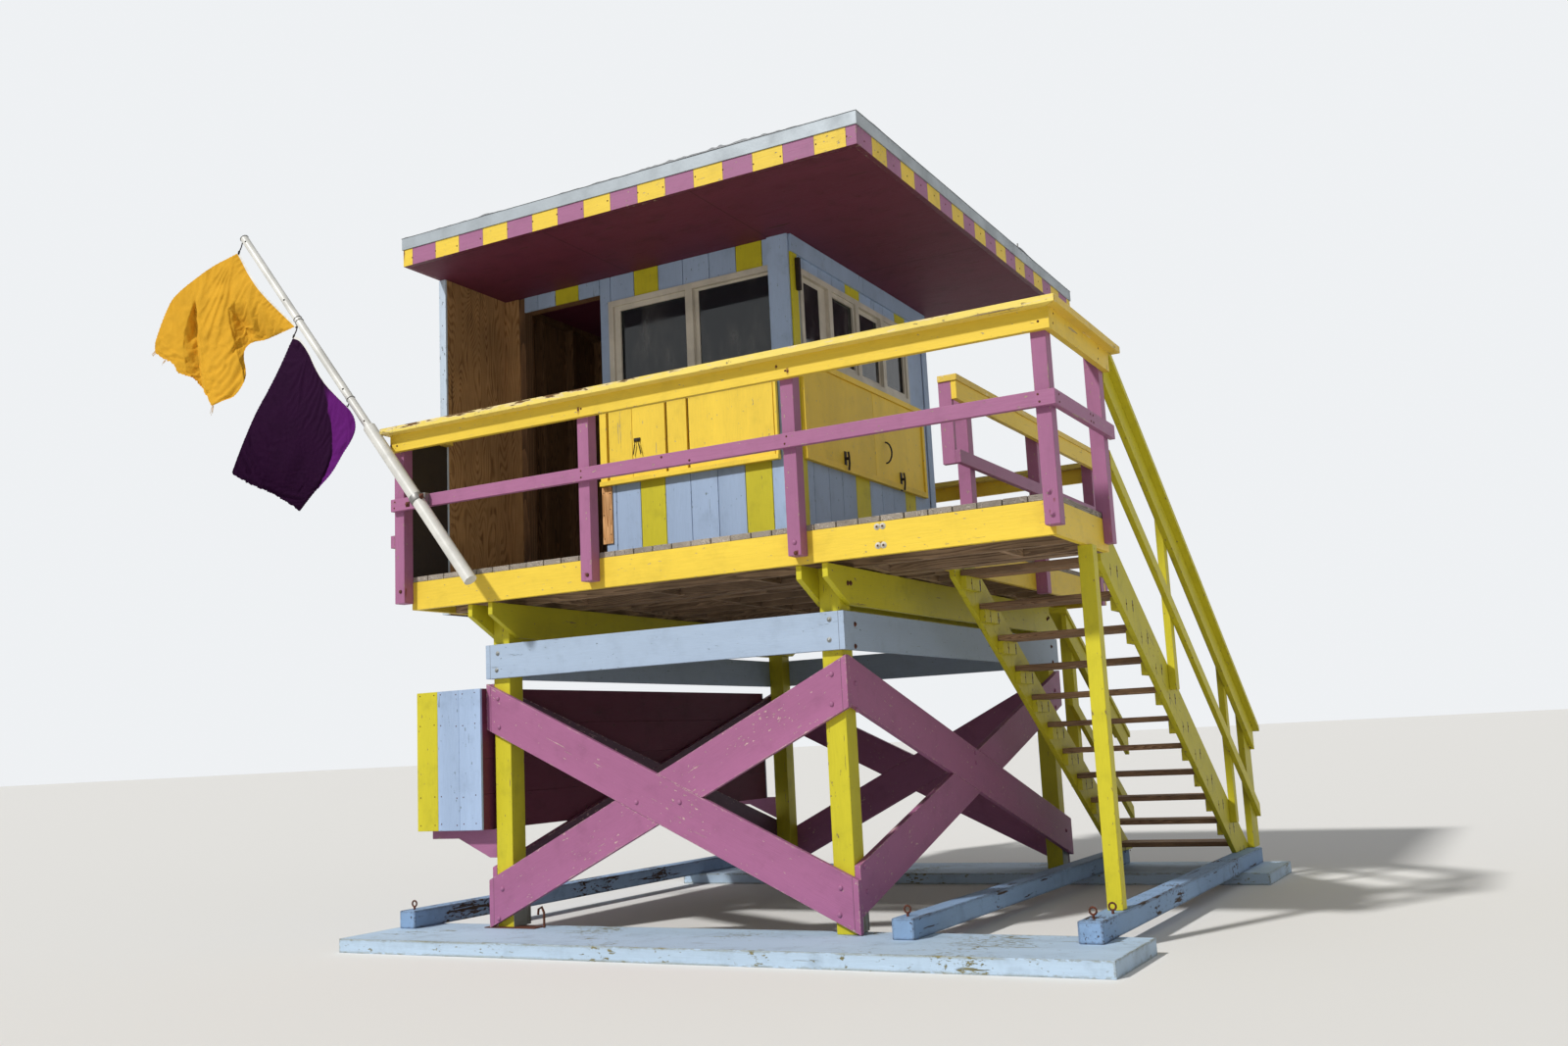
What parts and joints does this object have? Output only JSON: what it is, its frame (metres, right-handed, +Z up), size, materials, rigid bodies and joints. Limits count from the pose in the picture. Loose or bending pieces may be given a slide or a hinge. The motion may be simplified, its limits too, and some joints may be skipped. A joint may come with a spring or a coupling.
{
  "type": "lifeguard tower",
  "caption": "Beach lifeguard tower: a cabin on a railed timber deck, raised on braced posts, with a side stair, a flat overhanging roof and a leaning flagpole.",
  "frame": {"origin": "centre of the bounding box's underside, on the ground plane under the sleepers", "axes": "+X to the right along the front rail towards the stair side, +Y from the front (seaward) side towards the back, +Z up"},
  "size_m": [7.497, 5.26, 5.456],
  "materials": {
    "yellow_paint": "worn gloss exterior paint on sawn lumber",
    "lime_paint": "worn gloss exterior paint on sawn lumber",
    "purple_paint": "worn gloss exterior paint on sawn lumber",
    "blue_paint": "worn matt exterior paint on boards",
    "plum_paint": "matt exterior paint on plywood",
    "bare_wood": "grey weathered softwood",
    "brown_wood": "weathered brown softwood",
    "plywood": "unpainted weathered plywood",
    "frame_white": "aged off-white enamel",
    "glass": "dusty dark clear glass",
    "drip_metal": "grey painted sheet, a little rusty",
    "roof_felt": "grey mineral roof felt",
    "white_paint": "white paint, scuffed",
    "strap_steel": "dull galvanised steel",
    "flag_cloth": "thin woven flag cloth"
  },
  "bodies": {
    "root": {"sleepers": "blue_paint", "skids": "blue_paint", "main_posts": "lime_paint", "foot_blocks": "bare_wood", "girders": "lime_paint", "cross_bands": "blue_paint", "side_bands": "blue_paint", "falling_braces": "purple_paint", "rising_braces": "purple_paint", "locker": "blue_paint", "locker_brackets": "purple_paint", "front_fascia": "yellow_paint", "side_fascias": "yellow_paint", "back_fascia": "yellow_paint", "joists": "brown_wood", "landing_rim": "brown_wood", "deck": "bare_wood", "front_rail_posts": "purple_paint", "side_rail_posts": "purple_paint", "back_rail_posts": "purple_paint", "cross_upper_rails": "yellow_paint", "side_upper_rails": "yellow_paint", "cross_mid_rails": "purple_paint", "side_mid_rails": "purple_paint", "cross_caps": "yellow_paint", "side_caps": "yellow_paint", "left_rails": "purple_paint", "left_panels": "purple_paint", "front_wall": "blue_paint", "door_header": "blue_paint", "left_wall": "blue_paint", "wing_wall": "plywood", "right_wall": "blue_paint", "back_wall": "blue_paint", "window_frames": "frame_white", "window_panes": "glass", "shutters": "yellow_paint", "roof_slab": "plum_paint", "roof_fascia": "purple_paint", "drip_edge": "drip_metal", "antennas": "strap_steel", "stringers": "lime_paint", "treads": "brown_wood", "landing_post": "lime_paint", "stair_posts": "lime_paint", "handrail_caps": "lime_paint", "handrail_boards": "lime_paint", "flagpole": "white_paint", "pole_clamp": "strap_steel", "flags": "flag_cloth"}
  },
  "joints": []
}
